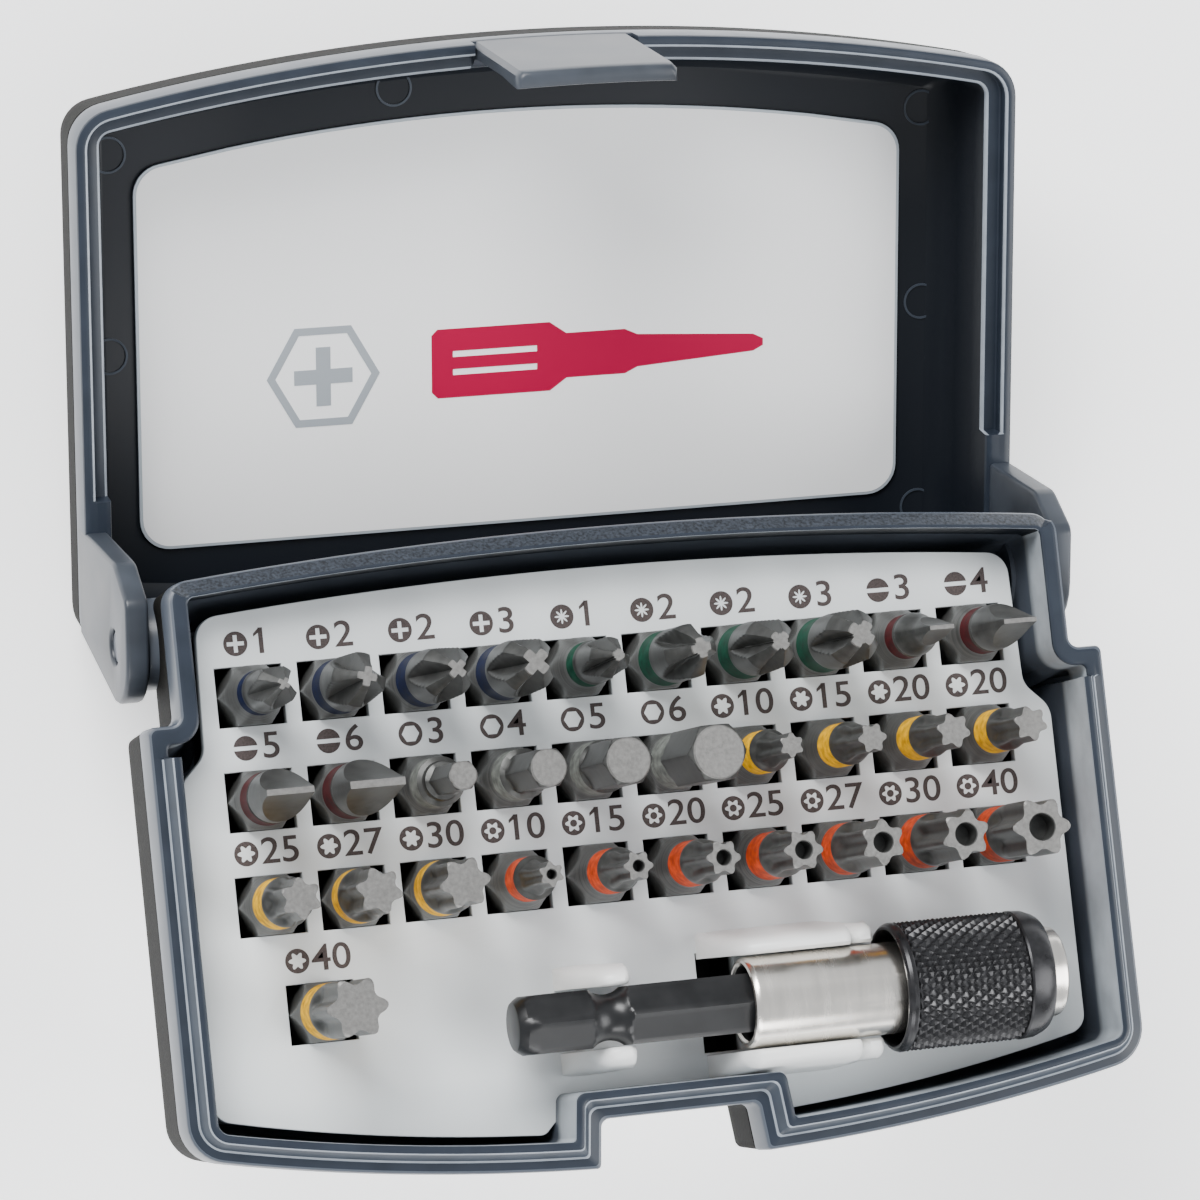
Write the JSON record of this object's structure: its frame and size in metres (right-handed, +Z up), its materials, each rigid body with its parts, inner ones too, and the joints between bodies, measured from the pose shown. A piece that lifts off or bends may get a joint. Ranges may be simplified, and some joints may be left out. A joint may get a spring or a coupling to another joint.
{
  "type": "screwdriver bit set",
  "caption": "Hinged pocket case with rows of quarter-inch screwdriver bits in a moulded tray and a quick-change bit holder held in clips.",
  "frame": {"origin": "under the middle of the base, on its flat bottom, half-way between the front and back of the base", "axes": "+X to the right along the hinge, +Y to the hinge at the back, +Z up"},
  "size_m": [0.1088, 0.1268, 0.0516],
  "materials": {
    "clear_case": "smoke-blue frosted clear plastic",
    "case_cover": "finely textured",
    "tray_plastic": "satin white",
    "label_sheet": "smooth printed sheet",
    "bit_steel": "grey phosphate, bright tip",
    "black_steel": "black oxide",
    "nickel": "bright nickel",
    "spring_steel": "bright",
    "tray_print": "printed marks",
    "label_grey": "printed",
    "label_red": "printed",
    "band_navy": "painted band",
    "band_green": "painted band",
    "band_red": "painted band",
    "band_yellow": "painted band",
    "band_orange": "painted band",
    "band_grey": "painted band"
  },
  "bodies": {
    "base": {"base_shell": "clear_case", "base_cover": "case_cover", "bit_tray": "tray_plastic"},
    "lid": {"lid_shell": "clear_case", "lid_cover": "case_cover", "label_panel": "label_sheet"},
    "holder": {"holder_shank": "black_steel", "holder_tube": "nickel", "sleeve_stop_ring": "spring_steel", "spring_stop_ring": "spring_steel", "holder_magnet": "nickel", "sleeve_spring": "spring_steel"},
    "sleeve": {"holder_sleeve": "black_steel"},
    "ball": {"lock_ball": "spring_steel"},
    "bit_ph1": {"bit_ph1": "bit_steel"},
    "bit_ph2_a": {"bit_ph2_a": "bit_steel"},
    "bit_ph2_b": {"bit_ph2_b": "bit_steel"},
    "bit_ph3": {"bit_ph3": "bit_steel"},
    "bit_pz1": {"bit_pz1": "bit_steel"},
    "bit_pz2_a": {"bit_pz2_a": "bit_steel"},
    "bit_pz2_b": {"bit_pz2_b": "bit_steel"},
    "bit_pz3": {"bit_pz3": "bit_steel"},
    "bit_sl3": {"bit_sl3": "bit_steel"},
    "bit_sl4": {"bit_sl4": "bit_steel"},
    "bit_sl5": {"bit_sl5": "bit_steel"},
    "bit_sl6": {"bit_sl6": "bit_steel"},
    "bit_hex3": {"bit_hex3": "bit_steel"},
    "bit_hex4": {"bit_hex4": "bit_steel"},
    "bit_hex5": {"bit_hex5": "bit_steel"},
    "bit_hex6": {"bit_hex6": "bit_steel"},
    "bit_t10": {"bit_t10": "bit_steel"},
    "bit_t15": {"bit_t15": "bit_steel"},
    "bit_t20_a": {"bit_t20_a": "bit_steel"},
    "bit_t20_b": {"bit_t20_b": "bit_steel"},
    "bit_t25": {"bit_t25": "bit_steel"},
    "bit_t27": {"bit_t27": "bit_steel"},
    "bit_t30": {"bit_t30": "bit_steel"},
    "bit_th10": {"bit_th10": "bit_steel"},
    "bit_th15": {"bit_th15": "bit_steel"},
    "bit_th20": {"bit_th20": "bit_steel"},
    "bit_th25": {"bit_th25": "bit_steel"},
    "bit_th27": {"bit_th27": "bit_steel"},
    "bit_th30": {"bit_th30": "bit_steel"},
    "bit_th40": {"bit_th40": "bit_steel"},
    "bit_t40": {"bit_t40": "bit_steel"}
  },
  "joints": [
    {"name": "lid_hinge", "type": "hinge", "parent": "base", "child": "lid", "pos_m": [0, 0.0264, 0.00645], "axis": [-1, 0, 0], "range_deg": [-160, 20]},
    {"name": "holder_lift", "type": "slide", "parent": "base", "child": "holder", "axis": [0, 0, 1], "range_m": [0, 0.03]},
    {"name": "sleeve_slide", "type": "slide", "parent": "holder", "child": "sleeve", "axis": [1, 0, 0], "range_m": [0, 0.0025], "deforming": ["sleeve_spring"]},
    {"name": "ball_travel", "type": "slide", "parent": "holder", "child": "ball", "axis": [0, 0, 1], "range_m": [0, 0.00075]},
    {"name": "bit_ph1_lift", "type": "slide", "parent": "base", "child": "bit_ph1", "axis": [0, 0, 1], "range_m": [0, 0.03]},
    {"name": "bit_ph2_a_lift", "type": "slide", "parent": "base", "child": "bit_ph2_a", "axis": [0, 0, 1], "range_m": [0, 0.03]},
    {"name": "bit_ph2_b_lift", "type": "slide", "parent": "base", "child": "bit_ph2_b", "axis": [0, 0, 1], "range_m": [0, 0.03]},
    {"name": "bit_ph3_lift", "type": "slide", "parent": "base", "child": "bit_ph3", "axis": [0, 0, 1], "range_m": [0, 0.03]},
    {"name": "bit_pz1_lift", "type": "slide", "parent": "base", "child": "bit_pz1", "axis": [0, 0, 1], "range_m": [0, 0.03]},
    {"name": "bit_pz2_a_lift", "type": "slide", "parent": "base", "child": "bit_pz2_a", "axis": [0, 0, 1], "range_m": [0, 0.03]},
    {"name": "bit_pz2_b_lift", "type": "slide", "parent": "base", "child": "bit_pz2_b", "axis": [0, 0, 1], "range_m": [0, 0.03]},
    {"name": "bit_pz3_lift", "type": "slide", "parent": "base", "child": "bit_pz3", "axis": [0, 0, 1], "range_m": [0, 0.03]},
    {"name": "bit_sl3_lift", "type": "slide", "parent": "base", "child": "bit_sl3", "axis": [0, 0, 1], "range_m": [0, 0.03]},
    {"name": "bit_sl4_lift", "type": "slide", "parent": "base", "child": "bit_sl4", "axis": [0, 0, 1], "range_m": [0, 0.03]},
    {"name": "bit_sl5_lift", "type": "slide", "parent": "base", "child": "bit_sl5", "axis": [0, 0, 1], "range_m": [0, 0.03]},
    {"name": "bit_sl6_lift", "type": "slide", "parent": "base", "child": "bit_sl6", "axis": [0, 0, 1], "range_m": [0, 0.03]},
    {"name": "bit_hex3_lift", "type": "slide", "parent": "base", "child": "bit_hex3", "axis": [0, 0, 1], "range_m": [0, 0.03]},
    {"name": "bit_hex4_lift", "type": "slide", "parent": "base", "child": "bit_hex4", "axis": [0, 0, 1], "range_m": [0, 0.03]},
    {"name": "bit_hex5_lift", "type": "slide", "parent": "base", "child": "bit_hex5", "axis": [0, 0, 1], "range_m": [0, 0.03]},
    {"name": "bit_hex6_lift", "type": "slide", "parent": "base", "child": "bit_hex6", "axis": [0, 0, 1], "range_m": [0, 0.03]},
    {"name": "bit_t10_lift", "type": "slide", "parent": "base", "child": "bit_t10", "axis": [0, 0, 1], "range_m": [0, 0.03]},
    {"name": "bit_t15_lift", "type": "slide", "parent": "base", "child": "bit_t15", "axis": [0, 0, 1], "range_m": [0, 0.03]},
    {"name": "bit_t20_a_lift", "type": "slide", "parent": "base", "child": "bit_t20_a", "axis": [0, 0, 1], "range_m": [0, 0.03]},
    {"name": "bit_t20_b_lift", "type": "slide", "parent": "base", "child": "bit_t20_b", "axis": [0, 0, 1], "range_m": [0, 0.03]},
    {"name": "bit_t25_lift", "type": "slide", "parent": "base", "child": "bit_t25", "axis": [0, 0, 1], "range_m": [0, 0.03]},
    {"name": "bit_t27_lift", "type": "slide", "parent": "base", "child": "bit_t27", "axis": [0, 0, 1], "range_m": [0, 0.03]},
    {"name": "bit_t30_lift", "type": "slide", "parent": "base", "child": "bit_t30", "axis": [0, 0, 1], "range_m": [0, 0.03]},
    {"name": "bit_th10_lift", "type": "slide", "parent": "base", "child": "bit_th10", "axis": [0, 0, 1], "range_m": [0, 0.03]},
    {"name": "bit_th15_lift", "type": "slide", "parent": "base", "child": "bit_th15", "axis": [0, 0, 1], "range_m": [0, 0.03]},
    {"name": "bit_th20_lift", "type": "slide", "parent": "base", "child": "bit_th20", "axis": [0, 0, 1], "range_m": [0, 0.03]},
    {"name": "bit_th25_lift", "type": "slide", "parent": "base", "child": "bit_th25", "axis": [0, 0, 1], "range_m": [0, 0.03]},
    {"name": "bit_th27_lift", "type": "slide", "parent": "base", "child": "bit_th27", "axis": [0, 0, 1], "range_m": [0, 0.03]},
    {"name": "bit_th30_lift", "type": "slide", "parent": "base", "child": "bit_th30", "axis": [0, 0, 1], "range_m": [0, 0.03]},
    {"name": "bit_th40_lift", "type": "slide", "parent": "base", "child": "bit_th40", "axis": [0, 0, 1], "range_m": [0, 0.03]},
    {"name": "bit_t40_lift", "type": "slide", "parent": "base", "child": "bit_t40", "axis": [0, 0, 1], "range_m": [0, 0.03]}
  ],
  "couplings": [
    {"joint": "ball_travel", "follows": "sleeve_slide", "ratio": 0.3}
  ]
}
